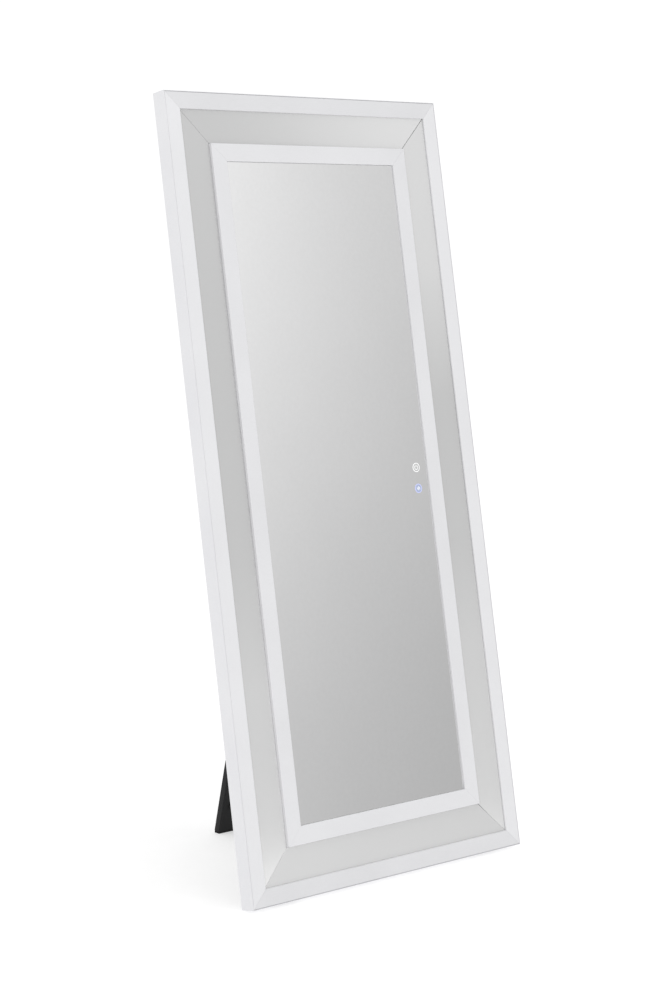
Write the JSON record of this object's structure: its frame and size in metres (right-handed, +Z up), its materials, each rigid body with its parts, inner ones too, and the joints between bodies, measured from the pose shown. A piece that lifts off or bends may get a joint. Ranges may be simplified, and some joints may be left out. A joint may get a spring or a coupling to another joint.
{
  "type": "cheval floor mirror",
  "caption": "Full-length floor mirror in a white frame with sloping mirror borders and a light strip, leaning on a hinged rear leg with folding side stays.",
  "frame": {"origin": "on the floor, under the middle of the object's box, with the leg open", "axes": "+Z up, the mirror faces -Y and leans back 10 degrees towards +Y, +X to the right seen from the front"},
  "size_m": [0.725, 0.5159, 1.5838],
  "materials": {
    "backing": "black faced hardboard",
    "black_board": "black painted board, matt",
    "black_steel": "black powder coated steel",
    "casing_white": "white lacquered fibreboard, satin",
    "circuit": "green circuit card",
    "clear_rubber": "pale rubber",
    "diffuser": "opal diffuser, softly translucent",
    "electronics": "black moulded housing",
    "fibreboard": "raw fibreboard",
    "foam": "closed cell foam",
    "light_tape": "white light tape with phosphor packages",
    "mirror": "silvered glass",
    "rubber": "black rubber",
    "speaker": "black speaker",
    "trim_white": "white moulded strip, satin gloss",
    "wire": "grey insulated wire",
    "zinc_steel": "zinc plated steel"
  },
  "bodies": {
    "panel": {"back_panel": "backing", "back_panel_screws": "zinc_steel", "backer_blocks": "fibreboard", "border_bed_bottom": "fibreboard", "border_bed_left": "fibreboard", "border_bed_right": "fibreboard", "border_bed_top": "fibreboard", "border_mirror_bottom": "mirror", "border_mirror_left": "mirror", "border_mirror_right": "mirror", "border_mirror_top": "mirror", "casing_rail_bottom": "casing_white", "casing_rail_left": "casing_white", "casing_rail_right": "casing_white", "casing_rail_top": "casing_white", "centre_mirror": "mirror", "control_box_base": "electronics", "control_box_lid": "electronics", "control_card": "circuit", "corner_blocks": "fibreboard", "diffuser_bottom": "diffuser", "diffuser_left": "diffuser", "diffuser_right": "diffuser", "diffuser_top": "diffuser", "face_trim_bottom": "trim_white", "face_trim_left": "trim_white", "face_trim_right": "trim_white", "face_trim_top": "trim_white", "frame_foot_left": "clear_rubber", "frame_foot_right": "clear_rubber", "hinge_block": "black_board", "hinge_panel_leaf": "black_steel", "hinge_panel_screws": "zinc_steel", "hinge_pin": "zinc_steel", "light_strips": "light_tape", "mirror_foam_pads": "foam", "power_inlet": "electronics", "speaker_grille_left": "speaker", "speaker_grille_right": "speaker", "speaker_left": "speaker", "speaker_right": "speaker", "stay_panel_brackets": "black_steel", "stay_panel_rivets": "zinc_steel", "stay_panel_screws": "zinc_steel", "support_board": "fibreboard", "touch_sensor_light": "electronics", "touch_sensor_sound": "electronics", "wire_clips": "wire", "wiring_harness": "wire"},
    "leg": {"leg_board": "black_board", "leg_foot_pad": "rubber", "leg_bumpers": "rubber", "hinge_leg_leaf": "black_steel", "leg_screws": "zinc_steel", "stay_leg_brackets": "black_steel", "stay_leg_rivets": "zinc_steel"},
    "stay_panel_arms": {"stay_panel_arm_left": "black_steel", "stay_panel_arm_right": "black_steel"},
    "stay_leg_arms": {"stay_leg_arm_left": "black_steel", "stay_leg_arm_right": "black_steel"}
  },
  "joints": [
    {"name": "leg_fold", "type": "hinge", "parent": "panel", "child": "leg", "pos_m": [0, 0.00901, 1.18983], "axis": [-1, 0, 0], "range_deg": [0, 22]},
    {"name": "stay_panel_pivot", "type": "hinge", "parent": "panel", "child": "stay_panel_arms", "pos_m": [0, -0.14153, 0.40403], "axis": [1, 0, 0], "range_deg": [0, 79.84]},
    {"name": "stay_leg_pivot", "type": "hinge", "parent": "leg", "child": "stay_leg_arms", "pos_m": [0, 0.16379, 0.40486], "axis": [-1, 0, 0], "range_deg": [0, 78.16]}
  ],
  "couplings": [
    {"joint": "stay_panel_pivot", "follows": "leg_fold", "ratio": 3.6293},
    {"joint": "stay_leg_pivot", "follows": "leg_fold", "ratio": 3.5525}
  ]
}
